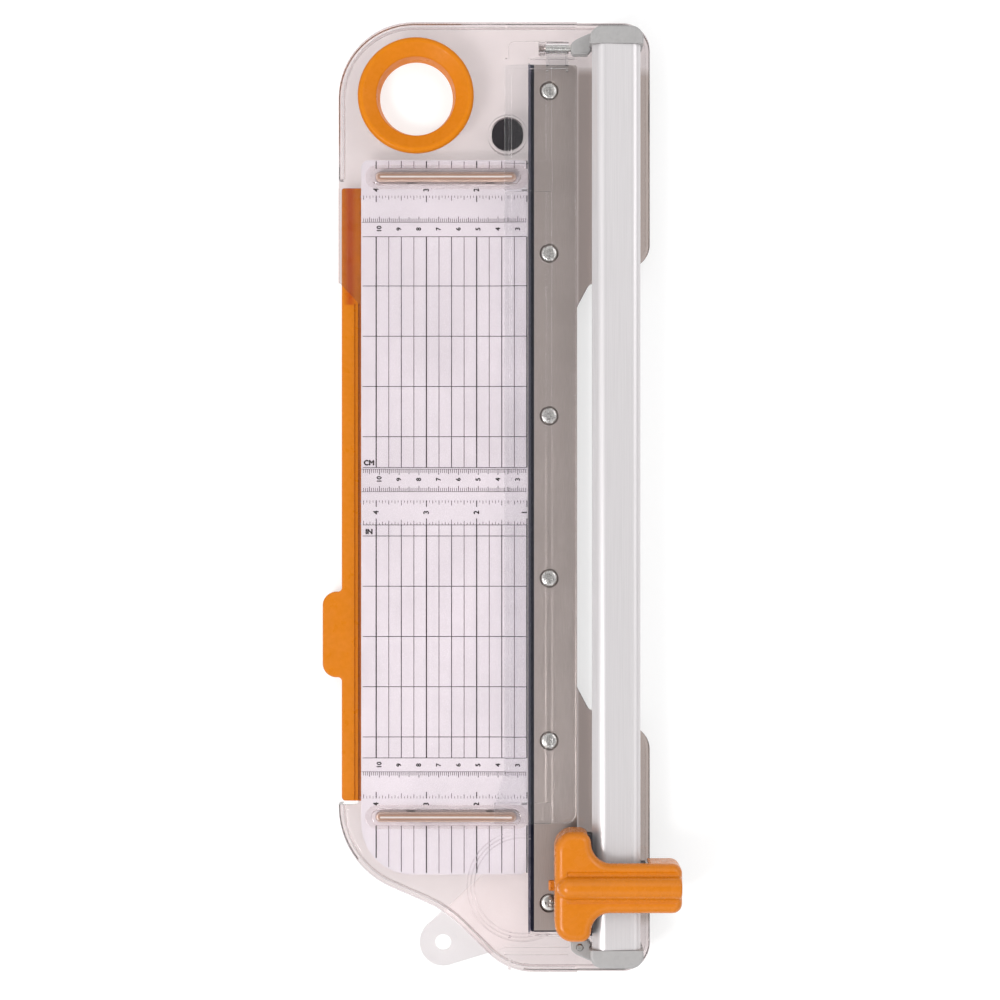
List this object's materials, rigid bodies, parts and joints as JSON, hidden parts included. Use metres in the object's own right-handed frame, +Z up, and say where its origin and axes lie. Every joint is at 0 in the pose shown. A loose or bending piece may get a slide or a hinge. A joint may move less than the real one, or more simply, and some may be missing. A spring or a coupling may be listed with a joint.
{
  "type": "rotary paper trimmer",
  "caption": "Flat clear base with a printed scale, a clear hinged paper guide, and a rail on which a sprung carriage rolls a round blade past a steel cutting plate.",
  "frame": {"origin": "bottom centre of the whole trimmer's box, on the surface that its feet rest on", "axes": "+Y along the rail, away from the parked carriage; +X from the scale towards the rail; +Z up"},
  "size_m": [0.18, 0.48, 0.0474],
  "materials": {
    "clear_base": "clear smoky moulded plastic",
    "clear_guide": "clear smoky moulded plastic",
    "printed_sheet": "white printed sheet, inch and centimetre scales",
    "black_strip": "matt black strip",
    "plate_steel": "ground steel plate",
    "orange_plastic": "moulded orange plastic",
    "white_plastic": "natural white plastic",
    "rail_aluminium": "satin anodised aluminium",
    "grey_plastic": "light grey moulded plastic",
    "dark_plastic": "dark grey low-friction plastic",
    "blade_steel": "ground blade steel",
    "bright_steel": "bright zinc-plated steel",
    "rubber": "soft black rubber"
  },
  "bodies": {
    "base": {"base_deck": "clear_base", "scale_sheet": "printed_sheet", "base_pan": "clear_base", "fence_rear": "clear_base", "fence_front": "clear_base", "fence_screw_1": "bright_steel", "fence_screw_2": "bright_steel", "fence_screw_3": "bright_steel", "fence_screw_4": "bright_steel", "plate_bed": "black_strip", "cutting_plate": "plate_steel", "plate_screw_1": "bright_steel", "plate_screw_2": "bright_steel", "plate_screw_3": "bright_steel", "plate_screw_4": "bright_steel", "plate_screw_5": "bright_steel", "plate_screw_6": "bright_steel", "hang_ring": "orange_plastic", "foot_rear_left": "rubber", "foot_rear_right": "rubber", "foot_front_right": "rubber", "foot_middle_left": "rubber", "foot_front_left": "rubber", "rail": "rail_aluminium", "end_cap_rear": "grey_plastic", "end_cap_front": "grey_plastic", "cap_screw_1": "bright_steel", "cap_screw_2": "bright_steel", "cap_screw_3": "bright_steel", "cap_screw_4": "bright_steel", "guide_pin": "bright_steel", "front_dowel": "bright_steel", "arm_pivot_screw": "bright_steel", "arm_washer": "bright_steel", "tab_rivet": "bright_steel"},
    "guide": {"paper_guide": "clear_guide"},
    "arm": {"swing_arm": "orange_plastic"},
    "tab": {"hang_tab": "white_plastic"},
    "carriage": {"carriage_slider": "dark_plastic", "spring_grip": "bright_steel", "spring_rear": "bright_steel", "spring_front": "bright_steel"},
    "head": {"press_head": "orange_plastic", "blade_holder": "grey_plastic", "blade_axle": "bright_steel", "blade_nut": "bright_steel", "blade_spacer": "bright_steel"},
    "cutter": {"blade": "blade_steel"},
    "release": {"release_tab": "orange_plastic"}
  },
  "joints": [
    {"name": "guide_lift", "type": "hinge", "parent": "base", "child": "guide", "pos_m": [0.0288, 0.2257, 0.0168], "axis": [-1, 0, 0], "range_deg": [0, 70]},
    {"name": "arm_swing", "type": "hinge", "parent": "base", "child": "arm", "pos_m": [-0.066, 0.144, 0.0056], "axis": [0, 0, -1], "range_deg": [0, 90]},
    {"name": "tab_swing", "type": "hinge", "parent": "base", "child": "tab", "pos_m": [0.002, -0.1845, 0.003], "axis": [0, 0, -1], "range_deg": [0, 60]},
    {"name": "carriage_slide", "type": "slide", "parent": "base", "child": "carriage", "axis": [0, -1, 0], "range_m": [-0.3852, 0]},
    {"name": "head_press", "type": "slide", "parent": "carriage", "child": "head", "axis": [0, 0, -1], "range_m": [0, 0.003], "stiffness_N_per_m": 800, "springref_m": -0.004, "deforming": ["spring_grip", "spring_rear", "spring_front"]},
    {"name": "blade_turn", "type": "hinge", "parent": "head", "child": "cutter", "pos_m": [0.03945, -0.1926, 0.0285], "axis": [1, 0, 0], "continuous": true},
    {"name": "release_push", "type": "slide", "parent": "head", "child": "release", "axis": [1, 0, 0], "range_m": [0, 0.002], "stiffness_N_per_m": 200, "springref_m": -0.002}
  ]
}
